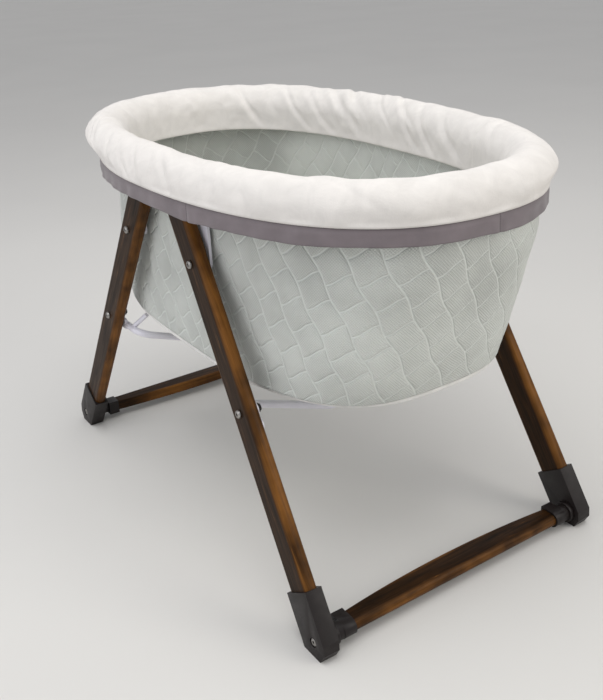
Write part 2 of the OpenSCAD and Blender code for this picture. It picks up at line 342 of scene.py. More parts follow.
def plush_finish(cloth):
    """Short-pile polyester plush: the pile scatters light, so it has no gloss, a strong soft sheen at its
    edges, a faint mottle where the pile is brushed two ways, and a fine nap."""
    material, tree, body = new_finish(
        "short_pile_plush", Roughness=0.95, Sheen_Weight=0.35, Sheen_Roughness=0.5
    )
    body.inputs["Sheen Tint"].default_value = linear("#fffaf6")
    body.inputs["Specular IOR Level"].default_value = 0.15
    # pile brushed two ways, in patches about 30 mm across
    stops = [(0.3, shade(cloth.plush, 0.91)), (0.62, tuple(cloth.plush)), (0.8, shade(cloth.plush, 1.03))]
    place, _ = mottled(tree, body, stops, Scale=34.0, Detail=5.0, Roughness=0.62, Distortion=0.8)
    # the nap is about 0.5 mm on the real cloth and drawn at 2 mm so that it shows
    nap = add(tree, NOISE, {"Scale": 520.0, "Detail": 3.0, "Roughness": 0.7}, {"Vector": place})
    drift = add(
        tree, NOISE, {"Scale": 85.0, "Detail": 4.0, "Roughness": 0.6, "Distortion": 1.4}, {"Vector": place}
    )
    both = maths(tree, "MULTIPLY_ADD", drift.outputs["Fac"], 0.7, nap.outputs["Fac"])
    relief(tree, body, both, 0.32, 0.0009)
    return material


def satin_finish(cloth, seams):
    """Woven polyester satin: floats along the band give a low soft gloss; it is dark along its top edge,
    where the plush lip shades it, and at its stitched seams. Texture place u is metres round the band and v
    metres up it."""
    material, tree, body = new_finish("woven_satin", Roughness=0.52, Sheen_Weight=0.25, Sheen_Roughness=0.4)
    body.inputs["Specular IOR Level"].default_value = 0.35
    split = add(tree, "ShaderNodeSeparateXYZ", feed={"Vector": add(tree, COORDINATES).outputs["UV"]})
    u, v = split.outputs["X"], split.outputs["Y"]
    place = add(tree, COORDINATES).outputs["Object"]
    cloud = add(tree, NOISE, {"Scale": 22.0, "Detail": 4.0, "Roughness": 0.6}, {"Vector": place})
    tone = ramp(
        add(tree, RAMP, feed={"Fac": cloud.outputs["Fac"]}),
        [(0.3, shade(cloth.band, 0.84)), (0.55, tuple(cloth.band)), (0.78, shade(cloth.band, 1.12))],
    )
    # the band is dark from 21 to 24 mm up, in the shade of the plush lip, and at its stitched seams
    edge = spread(tree, v, 0.0212, 0.0240, 0.0, 0.8)
    dark = edge
    for seam in seams:
        gap = maths(tree, "SUBTRACT", u, seam)
        gap = maths(tree, "ABSOLUTE", gap)
        line = spread(tree, gap, 0.0004, 0.0011, 0.6, 0.0)
        # stitches 3 mm long
        pitch = maths(tree, "MULTIPLY", v, TAU / 0.003)
        pitch = maths(tree, "SINE", pitch)
        dash = spread(tree, pitch, -0.2, 0.2, 0.45, 1.0)
        line = maths(tree, "MULTIPLY", line, dash)
        dark = maths(tree, "MAXIMUM", dark, line)
    mix = add(
        tree, "ShaderNodeMix", {"B": shade(cloth.band, 0.16)}, {"Factor": dark, "A": tone.outputs["Color"]},
        data_type="RGBA"
    )
    tree.links.new(mix.outputs["Result"], body.inputs["Base Color"])
    # weave of 0.25 mm threads, drawn at 1.1 mm so that it shows
    weft = maths(tree, "MULTIPLY", v, TAU / 0.0011)
    weft = maths(tree, "SINE", weft)
    slub = add(tree, NOISE, {"Scale": 420.0, "Detail": 3.0}, {"Vector": place})
    height = maths(tree, "MULTIPLY_ADD", weft, 0.35, slub.outputs["Fac"])
    relief(tree, body, height, 0.25, 0.0004)
    return material


def knit_finish(cloth):
    """Quilted spacer knit: two mesh faces with a spring yarn between, matt, ribbed on the slant, with
    smooth pressed lines between puffed cells, painted paler as a painted highlight where they catch the light.
    Texture place u is metres round the basket and v metres up it."""
    material, tree, body = new_finish(
        "quilted_spacer_knit", Roughness=0.82, Sheen_Weight=0.18, Sheen_Roughness=0.5
    )
    body.inputs["Specular IOR Level"].default_value = 0.25
    split = add(tree, "ShaderNodeSeparateXYZ", feed={"Vector": add(tree, COORDINATES).outputs["UV"]})
    u, v = split.outputs["X"], split.outputs["Y"]
    turn, wide, long = cloth.cell_turn, cloth.cell_across, cloth.cell_along
    # the quilting lines, by the same formula as quilt()
    p = maths(tree, "MULTIPLY", v, math.sin(turn))
    p = maths(tree, "MULTIPLY_ADD", u, math.cos(turn), p)
    q = maths(tree, "MULTIPLY", v, math.cos(turn))
    q = maths(tree, "MULTIPLY_ADD", u, -math.sin(turn), q)
    wave = maths(tree, "MULTIPLY", q, TAU / (2 * long))
    wave = maths(tree, "SINE", wave)
    p = maths(tree, "MULTIPLY_ADD", wave, 0.002, p)
    cell = maths(tree, "DIVIDE", p, wide)
    row = maths(tree, "FLOOR", cell)
    row = maths(tree, "FLOORED_MODULO", row, 2.0)
    near = maths(tree, "PINGPONG", cell, 1.0)
    other = maths(tree, "SUBTRACT", 1.0, near)
    near = maths(tree, "MINIMUM", near, other)
    near = maths(tree, "MULTIPLY", near, wide)
    q = maths(tree, "MULTIPLY_ADD", row, 0.5 * long, q)
    wave = maths(tree, "MULTIPLY", cell, TAU)
    wave = maths(tree, "SINE", wave)
    q = maths(tree, "MULTIPLY_ADD", wave, 0.0012, q)
    step = maths(tree, "DIVIDE", q, long)
    short = maths(tree, "PINGPONG", step, 1.0)
    other = maths(tree, "SUBTRACT", 1.0, short)
    short = maths(tree, "MINIMUM", short, other)
    short = maths(tree, "MULTIPLY", short, long)
    far = maths(tree, "MINIMUM", near, short)
    # pressed lines about 3 mm wide
    pressed = spread(tree, far, 0.0006, 0.0023, 1.0, 0.0, eased=True)
    # slanted ribs crossed by a fainter set, one rib for each knit wale
    ribs = []
    for way in (math.radians(48), math.radians(-38)):
        rib = maths(tree, "MULTIPLY", v, TAU / cloth.rib * math.sin(way))
        rib = maths(tree, "MULTIPLY_ADD", u, TAU / cloth.rib * math.cos(way), rib)
        ribs.append(maths(tree, "SINE", rib))
    mesh = maths(tree, "MULTIPLY_ADD", ribs[1], 0.8, ribs[0])
    calm = maths(tree, "SUBTRACT", 1.0, pressed)
    mesh = maths(tree, "MULTIPLY", mesh, calm)
    place = add(tree, COORDINATES).outputs["Object"]
    cloud = add(tree, NOISE, {"Scale": 9.0, "Detail": 3.0, "Roughness": 0.55}, {"Vector": place}).outputs["Fac"]
    level = maths(tree, "MULTIPLY_ADD", mesh, 0.085, cloud)
    tone = ramp(
        add(tree, RAMP, feed={"Fac": level}),
        [(0.28, shade(cloth.knit, 0.82)), (0.5, tuple(cloth.knit)), (0.72, shade(cloth.knit, 1.15))],
    )
    # painted highlight: the pressed lines are made paler where they catch the light
    line_highlight = maths(tree, "MULTIPLY", pressed, 0.7)
    mix = add(
        tree, "ShaderNodeMix", {"B": linear("#dfe3dd")}, {"Factor": line_highlight, "A": tone.outputs["Color"]},
        data_type="RGBA"
    )
    tree.links.new(mix.outputs["Result"], body.inputs["Base Color"])
    height = maths(tree, "MULTIPLY_ADD", pressed, -5.0, mesh)
    relief(tree, body, height, 0.85, 0.0003)
    return material


def binding_finish(name, code):
    """Woven cotton tape: matt, with 1.6 mm ribs across."""
    material, tree, body = new_finish(name, Roughness=0.85, Sheen_Weight=0.2)
    mottled(tree, body, [(0.3, shade(linear(code), 0.84)), (0.7, linear(code))], Scale=40.0, Detail=4.0)
    split = add(tree, "ShaderNodeSeparateXYZ", feed={"Vector": add(tree, COORDINATES).outputs["UV"]})
    rib = maths(tree, "MULTIPLY", split.outputs["X"], TAU / 0.0016)
    rib = maths(tree, "SINE", rib)
    relief(tree, body, rib, 0.4, 0.0003)
    return material


def walnut_finish(name, stand, grain, across, middle, half):
    """Ash stained walnut under satin lacquer: long grain streaks, dark open pores, and orange-brown on the
    eased edges, partly stain rubbed thin and partly a painted highlight where the rounded edges catch the
    light.
    grain and across are unit directions, middle is the board's middle along across, half its half width."""
    material, tree, body = new_finish(name, Coat_Weight=0.03, Coat_Roughness=0.22, IOR=1.5)
    body.inputs["Specular IOR Level"].default_value = 0.09
    place = add(tree, COORDINATES).outputs["Object"]
    through = tuple(Vector(grain).cross(Vector(across)))
    run = add(tree, "ShaderNodeVectorMath", {1: grain}, {0: place}, operation="DOT_PRODUCT").outputs["Value"]
    side = add(tree, "ShaderNodeVectorMath", {1: across}, {0: place}, operation="DOT_PRODUCT").outputs["Value"]
    deep = add(tree, "ShaderNodeVectorMath", {1: through}, {0: place}, operation="DOT_PRODUCT").outputs["Value"]
    # streaks 5 mm wide and 90 mm long, pores 1 mm wide and 25 mm long
    slow = maths(tree, "MULTIPLY", run, 0.055)
    streaks = add(tree, "ShaderNodeCombineXYZ", feed={"X": side, "Y": deep, "Z": slow})
    streak = add(
        tree, NOISE, {"Scale": 165.0, "Detail": 6.0, "Roughness": 0.62, "Distortion": 0.7},
        {"Vector": streaks.outputs[0]}
    )
    slower = maths(tree, "MULTIPLY", run, 0.04)
    pores = add(tree, "ShaderNodeCombineXYZ", feed={"X": side, "Y": deep, "Z": slower})
    pore = add(tree, NOISE, {"Scale": 900.0, "Detail": 3.0, "Roughness": 0.6}, {"Vector": pores.outputs[0]})
    patch = add(tree, NOISE, {"Scale": 11.0, "Detail": 3.0, "Roughness": 0.6}, {"Vector": place})
    level = maths(tree, "MULTIPLY_ADD", pore.outputs["Fac"], 0.28, streak.outputs["Fac"])
    tone = ramp(
        add(tree, RAMP, feed={"Fac": level}),
        [
            (0.42, tuple(stand.stain_dark)), (0.6, tuple(stand.stain_mid)), (0.78, shade(stand.stain_mid, 1.9)),
            (0.92, shade(stand.stain_rub_and_highlight, 0.8))
        ],
    )
    # the eased edges take the rubbed colour: partly stain rubbed thin, partly a painted highlight where the
    # rounded edges catch the light
    off = maths(tree, "SUBTRACT", side, middle)
    off = maths(tree, "ABSOLUTE", off)
    edge = spread(tree, off, half - 0.009, half - 0.0015, eased=True)
    wear_and_highlight = spread(tree, patch.outputs["Fac"], 0.36, 0.62, 0.15, 0.85)
    edge = maths(tree, "MULTIPLY", edge, wear_and_highlight)
    rub = add(
        tree, "ShaderNodeMix", feed={"Factor": level, "A": tone.outputs["Color"]},
        put={"B": tuple(stand.stain_rub_and_highlight)}, data_type="RGBA"
    )
    mix = add(
        tree, "ShaderNodeMix", feed={"Factor": edge, "A": tone.outputs["Color"], "B": rub.outputs["Result"]},
        data_type="RGBA"
    )
    tree.links.new(mix.outputs["Result"], body.inputs["Base Color"])
    rough = spread(tree, streak.outputs["Fac"], 0.3, 0.75, 0.5, 0.34)
    tree.links.new(rough, body.inputs["Roughness"])
    relief(tree, body, level, 0.22, 0.0004)
    return material


def plastic_finish(stand):
    """Moulded nylon: a fine spark-eroded grain takes the shine off, with faint rub marks."""
    material, tree, body = new_finish("moulded_nylon", IOR=1.5)
    body.inputs["Specular IOR Level"].default_value = 0.3
    stops = [(0.35, shade(stand.boot, 0.8)), (0.6, tuple(stand.boot)), (0.8, shade(stand.boot, 1.5))]
    place, rub = mottled(tree, body, stops, Scale=60.0, Detail=5.0, Roughness=0.65)
    rough = spread(tree, rub, 0.3, 0.7, 0.5, 0.38)
    tree.links.new(rough, body.inputs["Roughness"])
    # spark grain of 0.3 mm, drawn at 1 mm so that it shows
    grain = add(tree, NOISE, {"Scale": 1000.0, "Detail": 2.0}, {"Vector": place})
    relief(tree, body, grain.outputs["Fac"], 0.25, 0.0003)
    return material


def steel_finish(stand):
    """Gloss powder coat on steel tube: a wide soft highlight, broken by a 4 mm orange-peel."""
    material, tree, body = new_finish(
        "powder_coated_steel", Roughness=0.3, Coat_Weight=0.3, Coat_Roughness=0.12
    )
    place, _ = mottled(
        tree, body, [(0.3, shade(stand.steel, 0.9)), (0.7, tuple(stand.steel))], Scale=28.0, Detail=4.0
    )
    peel = add(tree, NOISE, {"Scale": 250.0, "Detail": 1.0}, {"Vector": place})
    relief(tree, body, peel.outputs["Fac"], 0.12, 0.0003)
    return material


def zinc_finish():
    """Zinc-plated steel screw: a dull bright metal with uneven patches."""
    material, tree, body = new_finish("zinc_plated_steel", Metallic=1.0)
    _, dull = mottled(tree, body, [(0.3, linear("#85827e")), (0.7, linear("#b5b2ae"))], Scale=300.0, Detail=3.0)
    rough = spread(tree, dull, 0.3, 0.7, 0.42, 0.24)
    tree.links.new(rough, body.inputs["Roughness"])
    return material


def board_finish():
    """Raw hardboard: flat brown, with pressed fibres."""
    material, tree, body = new_finish("raw_hardboard", Roughness=0.85)
    stops = [(0.3, linear("#4d3d2c")), (0.7, linear("#7d684e"))]
    mottled(tree, body, stops, Scale=240.0, Detail=6.0, Roughness=0.7, Distortion=2.0)
    return material


# ---------------------------------------------------------------- pieces


class BASSINET_OT_plush_rim(bpy.types.Operator):
    """Plush roll round the rim, gathered where the cover is drawn round the corners"""

    bl_idname = "bassinet.plush_rim"
    bl_label = "Plush rim"

    def execute(self, context):
        cloth = context.scene.bassinet_cloth
        # half width and half height of the roll
        half_w, half_h = 0.0353, 0.0416
        b, z = ROLL_HIGH.y - half_w, ROLL_HIGH.z - half_h
        # middle line of the roll, and the smaller, rounder oval that its outer lip is drawn in to
        a, lip_a, lip_b = (0.4205, 0.3965), (0.4544, 0.4213), 0.2709
        t, length = even_turn(a, b, RIM_SQUARE, 640)
        s = np.arange(len(t)) / len(t) * length
        # section: an outer skin from the outer lip over the top to the inner lip, and a lining that comes
        # back inside it
        arc = np.radians(np.linspace(-11, 180, 58))
        down = np.linspace(0.1, 1, 9)[:, None]
        top = np.stack([half_w * np.cos(arc), half_h * np.sin(arc)], -1)
        inner = np.array([-half_w, 0.0]) + down * np.array([0.0006, -0.0345])
        lip = np.array([[-0.0340, -0.0362], [-0.0320, -0.0360]])
        back = np.radians(np.linspace(172, -12, 20))
        lining = np.stack([0.0279 * np.cos(back), 0.0326 * np.sin(back)], -1)
        section = np.concatenate([top, inner, lip, lining])
        off, rise = section[None, :, 0], section[None, :, 1]
        skin_part = np.zeros(len(section))
        skin_part[: len(top) + len(inner)] = 1
        arc_run = np.concatenate([[0], np.cumsum(np.hypot(*np.diff(section, axis=0).T))])[None, :]
        # share of the way that a point of the outer side is drawn in to the lip's own oval
        curl = smooth(-rise, -0.017, 0.006) * (off > 0)
        # soft lumps of the padding, then gathers: each is a crease along a slant with a swell beside it
        s2 = s[:, None]
        around = np.stack([np.cos(TAU * s / length), np.sin(TAU * s / length)], -1) * length / TAU
        puff = 0.0011 * lumps(around[:, :1] + arc_run, around[:, 1:] - 0.4 * arc_run, 3, 9, 0.05, 0.17)
        puff = puff + 0.0002 * lumps(around[:, :1] - arc_run, around[:, 1:] + arc_run, 8, 12, 0.02, 0.05)
        rng = np.random.default_rng(21)
        far, near = np.interp(0.5 * math.pi, t, s), np.interp(1.33 * math.pi, t, s)
        # faint creases everywhere, then deep ones on the +Y side and on the -Y side
        folds = []
        for _ in range(44):
            depth, width, reach = rng.uniform(0.06, 0.28), rng.uniform(0.006, 0.012), rng.uniform(0.03, 0.08)
            folds.append(
                (rng.uniform(0, length), rng.uniform(0.0, 0.155), rng.normal(0.9, 0.35), reach, width, depth)
            )
        for _ in range(15):
            depth, width, reach = rng.uniform(0.5, 1.0), rng.uniform(0.006, 0.011), rng.uniform(0.04, 0.08)
            where, place = far + rng.normal(0.09, 0.17), rng.uniform(0.07, 0.14)
            folds.append((where, place, rng.normal(0.78, 0.16), reach, width, depth))
        for _ in range(15):
            depth, width, reach = rng.uniform(0.4, 0.9), rng.uniform(0.005, 0.010), rng.uniform(0.03, 0.06)
            folds.append(
                (near + rng.normal(0, 0.14), rng.uniform(0.0, 0.08), rng.normal(0.7, 0.2), reach, width, depth)
            )
        for where, place, way, reach, width, depth in folds:
            ds = np.mod(s2 - where + length / 2, length) - length / 2
            dl = arc_run - place
            along, side = ds * math.cos(way) - dl * math.sin(way), ds * math.sin(way) + dl * math.cos(way)
            side = side + 0.12 * along * np.sin(along / 0.03)
            fade = np.exp(-((along / reach) ** 2))
            swell = 0.45 * np.exp(-(((side - width) / (1.7 * width)) ** 2))
            crease = 0.8 * np.exp(-((side / (0.75 * width)) ** 2))
            puff = puff + cloth.fold_depth * depth * fade * (swell - crease)
        puff = puff - 0.0012
        # the seam that joins the cover's two ends
        joint = np.interp(0.34 * math.pi, t, s)
        puff = puff - 0.003 * np.exp(-(((s2 - joint) / 0.003) ** 2)) + 0.0012 * np.exp(
            -(((s2 - joint + 0.009) / 0.006) ** 2)
        )
        # outward direction of the section at each point
        step = np.gradient(section, axis=0)
        out = np.stack([step[:, 1], -step[:, 0]], -1) / np.maximum(np.hypot(*step.T), 1e-9)[:, None]
        hold = skin_part * smooth(np.arange(len(section)), 0, 3) * smooth(
            len(top) + len(inner) - np.arange(len(section)), 0, 4
        )
        move = np.clip(puff, -0.007, 0.0022) * hold[None, :]
        off, rise = off + move * out[None, :, 0], rise + move * out[None, :, 1]
        x, y = oval((a[0] + off, a[1] + off), b + off, RIM_SQUARE, t[:, None])
        lip_off = off - half_w * math.cos(math.radians(11))
        x_lip, y_lip = oval((lip_a[0] + lip_off, lip_a[1] + lip_off), lip_b + lip_off, BAND_SQUARE, t[:, None])
        x, y = x + curl * (x_lip - x), y + curl * (y_lip - y)
        points = np.stack([x, y, z + rise + 0 * x], -1)
        points[..., 2] = np.minimum(points[..., 2], ROLL_HIGH.z + 0.001)
        v = np.append(arc_run[0], arc_run[0, -1] + 0.01)
        piece = skin("plush_roll", [grid(points, True, True, np.append(s, length), v)])
        set_out(piece, "basket", "plush", plush_finish(cloth), "plush_rim")
        return {"FINISHED"}


class BASSINET_OT_satin_band(bpy.types.Operator):
    """Satin band that hangs under the plush roll, outside the legs at the sides"""

    bl_idname = "bassinet.satin_band"
    bl_label = "Satin band"

    def execute(self, context):
        cloth = context.scene.bassinet_cloth
        t, length = even_turn(BAND_LONG, BAND_WIDE, BAND_SQUARE, 900, start=0.75 * math.pi)
        s = np.arange(len(t)) / len(t) * length
        rows = np.linspace(0, 1, 15)[None, :]
        height = BAND_HIGH.z + 0.0022 - BAND_LOW.z
        around = np.stack([np.cos(TAU * s / length), np.sin(TAU * s / length)], -1) * length / TAU
        # the hem wanders a millimetre or two, and the cloth ripples between hem and roll
        hem = 0.0013 * lumps(around[:, :1], around[:, 1:], 5, 7, 0.09, 0.3)
        ripple = 0.0007 * lumps(around[:, :1], around[:, 1:] + 0.6 * rows * height, 12, 10, 0.025, 0.08)
        ripple = ripple * (1 + 1.8 * smooth(-np.cos(t), 0.2, 0.9)[:, None])
        seams = [float(np.interp(k * math.pi, t, s)) for k in (1.586, 2.0)]
        pucker = np.zeros((len(s), 1))
        for seam in seams:
            ds = s[:, None] - seam
            pucker = pucker - 0.0013 * np.exp(-((ds / 0.0022) ** 2)) + 0.0009 * np.exp(
                -(((np.abs(ds) - 0.008) / 0.006) ** 2)
            )
        # its top edge is tucked in behind the lip of the plush
        lean = -0.0024 * smooth(rows, 0.55, 1.0) - 0.0006 * np.sin(math.pi * rows)
        out = lean + (ripple + pucker) * (1 - smooth(rows, 0.4, 0.9))
        fall = BAND_LOW.z + hem * (1 - rows) + rows * height
        back = out - 0.0012
        x1, y1 = oval((BAND_LONG[0] + out, BAND_LONG[1] + out), BAND_WIDE + out, BAND_SQUARE, t[:, None])
        x2, y2 = oval((BAND_LONG[0] + back, BAND_LONG[1] + back), BAND_WIDE + back, BAND_SQUARE, t[:, None])
        outer = np.stack([x1, y1, fall + 0 * x1], -1)
        inner = np.stack([x2, y2, fall + 0.0002 + 0 * x2], -1)
        points = np.concatenate([outer, inner[:, ::-1]], 1)
        v = np.concatenate([rows[0] * height, rows[0, ::-1] * height, [0.0]])
        piece = skin("satin_band", [grid(points, True, True, np.append(s, length), v)])
        set_out(piece, "basket", "satin", satin_finish(cloth, seams), "rim_band")
        return {"FINISHED"}


def wall_size(k):
    """Half length, half width and squareness of the wall at height share k. Each end spreads by WALL_SPREAD
    times the 0.87 power of the height up to the band, and stands upright above. From a quarter of the height
    the -X end is drawn in by up to WALL_DRAW."""
    low = np.clip(k / 0.92, 0, 1)
    spread = WALL_SPREAD * low**0.87
    tuck, draw = smooth(k, 0.78, 0.93), smooth(k, 0.25, 0.9)
    half_long = (WALL_LONG + spread - 0.002 * tuck, WALL_LONG + spread - WALL_DRAW * draw)
    return half_long, WALL_WIDE - 0.0008 * np.sin(math.pi * k), (
        3.15 - 0.4 * k - 0.1 * tuck, 3.15 - 0.4 * k - 0.3 * draw
    )


class BASSINET_OT_quilted_wall(bpy.types.Operator):
    """Quilted wall of the basket, one panel of spacer knit closed by an upright seam"""

    bl_idname = "bassinet.quilted_wall"
    bl_label = "Quilted wall"

    def execute(self, context):
        cloth = context.scene.bassinet_cloth
        tall = WALL_HIGH.z - WALL_LOW.z
        t, length = even_turn(0.41, 0.210, 2.95, 860, start=-0.506 * math.pi)
        s = np.arange(len(t)) / len(t) * length
        outer_rows, inner_rows = np.linspace(0, 1, 88)[None, :], np.linspace(1, 0, 25)[None, :]
        around = np.stack([np.cos(TAU * s / length), np.sin(TAU * s / length)], -1) * length / TAU
        parts = []
        for rows, side in ((outer_rows, 1), (inner_rows, -1)):
            half_long, half_wide, square = wall_size(rows)
            far = quilt(s[:, None], rows * tall, cloth)
            puff = cloth.pillow * (1 - np.exp(-far / 0.0035)) - cloth.pillow
            sag = 0.0011 * lumps(around[:, :1], around[:, 1:] + rows * tall, 4, 8, 0.12, 0.35)
            # the upright seam: the cloth is drawn in beside it
            seam = (np.mod(s + length / 2, length) - length / 2)[:, None]
            draw = -0.0045 * np.exp(-(((seam + 0.014) / 0.013) ** 2))
            draw = draw + 0.0022 * np.exp(-(((seam - 0.006) / 0.009) ** 2))
            draw = draw - 0.0035 * np.exp(-(((seam + 0.105) / 0.018) ** 2)) * smooth(rows, 0.1, 0.4)
            free = smooth(rows, 0, 0.05) * smooth(1 - rows, 0, 0.08)
            move = (side * 0.55 * puff + sag) * free + draw * free
            if side < 0:
                move = move - 0.0032
            ends = (half_long[0] + move, half_long[1] + move)
            x, y = oval(ends, half_wide + move, square, t[:, None])
            parts.append(np.stack([x, y, WALL_LOW.z + rows * tall + 0 * x], -1))
        points = np.concatenate(parts, 1)
        v = np.concatenate([outer_rows[0] * tall, inner_rows[0] * tall, [0.0]])
        piece = skin("quilted_wall", [grid(points, True, True, np.append(s, length), v)])
        set_out(piece, "basket", "quilted_fabric", knit_finish(cloth), "basket_wall")
        return {"FINISHED"}


class BASSINET_OT_bottom(bpy.types.Operator):
    """Binding round the basket's bottom edge and the cloth panel under it"""

    bl_idname = "bassinet.bottom"
    bl_label = "Bottom binding and panel"

    def execute(self, context):
        r = (BINDING_HIGH.z - BINDING_LOW.z) / 2
        a, b, z = BINDING_HIGH.x - r, BINDING_HIGH.y - r, (BINDING_LOW.z + BINDING_HIGH.z) / 2
        t, length = even_turn(a, b, BOTTOM_SQUARE, 520)
        s = np.arange(len(t)) / len(t) * length
        turn = np.linspace(0, TAU, 12, endpoint=False)[None, :]
        # a tape folded over the raw edge: a flattened round section that wavers a little
        waver = 0.0004 * lumps(s[:, None], 0 * turn, 9, 6, 0.03, 0.12)
        x, y = oval(
            a + 0.0022 * np.cos(turn) + waver, b + 0.0022 * np.cos(turn) + waver, BOTTOM_SQUARE, t[:, None]
        )
        points = np.stack([x, y, z + 0.0026 * np.sin(turn) + 0.6 * waver + 0 * x], -1)
        v = np.linspace(0, 0.016, 13)
        binding = skin("bottom_binding", [grid(points, True, True, np.append(s, length), v)])
        set_out(binding, "basket", "piping", binding_finish("cotton_tape", "#eceae6"), "bottom_piping")
        # the panel: rings from the edge to the middle, sagging two millimetres at the middle
        a, b = PANEL_HIGH.x, PANEL_HIGH.y
        t, length = even_turn(a, b, BOTTOM_SQUARE, 240)
        share = np.linspace(1, 0, 34)[None, :]
        under = np.concatenate([share, share[:, ::-1]], 1)
        low = np.concatenate([0 * share, 0 * share + 0.0026], 1)
        x, y = oval(a * under, b * under, BOTTOM_SQUARE, t[:, None])
        around = 0.0004 * lumps(x, y, 2, 8, 0.05, 0.16)
        z = PANEL_LOW.z + 0.0003 + low + (around - 0.0016) * smooth(1 - under, 0, 0.6)
        points = np.stack([x, y, z], -1)
        u = np.append(np.arange(len(t)), len(t)) / len(t) * length
        v = np.concatenate([a * under[0], [a]])
        panel = skin("underside_panel", [grid(points, True, True, u, v)], merge=1e-6)
        loops = np.zeros(len(panel.data.loops), np.int32)
        panel.data.loops.foreach_get("vertex_index", loops)
        place = np.zeros(len(panel.data.vertices) * 3, np.float32)
        panel.data.vertices.foreach_get("co", place)
        panel.data.uv_layers[0].data.foreach_set("uv", place.reshape(-1, 3)[loops, :2].ravel())
        set_out(panel, "basket", "quilted_fabric", bpy.data.materials["quilted_spacer_knit"], "bottom_panel")
        return {"FINISHED"}


def puffed(piece, pressure, cap, voxel):
    """A padded piece blown up as cloth: its mesh is remade in even cells, runs 20 steps under air pressure
    without weight, and each point keeps no more than cap of its movement."""
    place_it = bpy.context.view_layer
    place_it.objects.active = piece
    remesh = piece.modifiers.new("cells", "REMESH")
    remesh.mode, remesh.voxel_size = "VOXEL", voxel
    cells = bpy.data.meshes.new_from_object(piece.evaluated_get(bpy.context.evaluated_depsgraph_get()))
    piece.modifiers.clear()
    piece.data = cells
    start = np.zeros(len(cells.vertices) * 3)
    cells.vertices.foreach_get("co", start)
    cloth = piece.modifiers.new("air", "CLOTH")
    cloth.settings.use_pressure = True
    cloth.settings.uniform_pressure_force = pressure
    cloth.settings.effector_weights.gravity = 0
    cloth.settings.quality = 5
    cloth.point_cache.frame_start, cloth.point_cache.frame_end = 1, 20
    for step in range(1, 21):
        bpy.context.scene.frame_set(step)
    blown = bpy.data.meshes.new_from_object(piece.evaluated_get(bpy.context.evaluated_depsgraph_get()))
    piece.modifiers.clear()
    bpy.context.scene.frame_set(1)
    move = np.zeros(len(start))
    blown.vertices.foreach_get("co", move)
    move = (move - start).reshape(-1, 3)
    size = np.linalg.norm(move, axis=1, keepdims=True)
    move *= cap * np.tanh(size / cap) / np.maximum(size, 1e-9)
    blown.vertices.foreach_set("co", (start.reshape(-1, 3) + move).ravel())
    blown.polygons.foreach_set("use_smooth", np.ones(len(blown.polygons), bool))
    piece.data = blown
    return piece


class BASSINET_OT_mattress(bpy.types.Operator):
    """Thin mattress pad on the base board, crowned, with a rounded edge"""

    bl_idname = "bassinet.mattress"
    bl_label = "Mattress pad"

    def execute(self, context):
        a, b = PAD_HIGH.x + 0.006, PAD_HIGH.y + 0.005
        thick = PAD_HIGH.z - PAD_LOW.z
        t, length = even_turn(a, b, BOTTOM_SQUARE, 300)
        # rounded slab: rings out along the bottom, round the side and back along the top
        side = np.radians(np.linspace(-90, 90, 13))
        reach = 0.009
        share = np.linspace(0, 1, 30)
        off = np.concatenate([share * 0 - reach, -reach + reach * np.cos(side), share * 0 - reach])
        scale = np.concatenate([share, np.ones(13), share[::-1]])
        high = np.concatenate([share * 0, (np.sin(side) + 1) / 2, share * 0 + 1]) * (thick - 0.006) + 0.001
        x, y = oval((a + off) * scale, (b + off) * scale, BOTTOM_SQUARE, t[:, None])
        points = np.stack([x, y, PAD_LOW.z + high + 0 * x], -1)
        u = np.append(np.arange(len(t)), len(t)) / len(t) * length
        piece = skin(
            "mattress_top", [grid(points, True, False, u, np.arange(points.shape[1]) * 0.01)], merge=1e-6
        )
        puffed(piece, 4.0, 0.006, 0.006)
        count = len(piece.data.vertices)
        co = np.zeros(count * 3)
        piece.data.vertices.foreach_get("co", co)
        co = co.reshape(-1, 3)
        top = smooth(co[:, 2], PAD_LOW.z + 0.6 * thick, PAD_LOW.z + 0.9 * thick)
        co[:, 2] += top * 0.0009 * lumps(co[:, 0], co[:, 1], 6, 12, 0.06, 0.2)
        # flat where it rests on the board, and inside its room
        co[:, 2] = np.clip(co[:, 2], PAD_LOW.z + 0.0004, PAD_HIGH.z + 0.003)
        reach = (np.abs(co[:, 0]) / a) ** BOTTOM_SQUARE + (np.abs(co[:, 1]) / b) ** BOTTOM_SQUARE
        co[:, :2] /= np.maximum(reach[:, None] ** (1 / BOTTOM_SQUARE), 1)
        piece.data.vertices.foreach_set("co", co.ravel())
        piece.data.update()
        cover, tree, body = new_finish("brushed_cotton_knit", Roughness=0.9, Sheen_Weight=0.25)
        stops = [(0.3, linear("#d5d4cf")), (0.7, linear("#e9e8e3"))]
        place, _ = mottled(tree, body, stops, Scale=18.0, Detail=4.0)
        # stitch loops of the knit, 1.2 mm, drawn at 2 mm so that they show
        split = add(tree, "ShaderNodeSeparateXYZ", feed={"Vector": place})
        waves = []
        for axis in ("X", "Y"):
            wave = maths(tree, "MULTIPLY", split.outputs[axis], TAU / 0.002)
            waves.append(maths(tree, "SINE", wave))
        loops = maths(tree, "MULTIPLY", waves[0], waves[1])
        relief(tree, body, loops, 0.35, 0.0004)
        set_out(piece, "basket", "pad_fabric", cover, "mattress_pad")
        return {"FINISHED"}


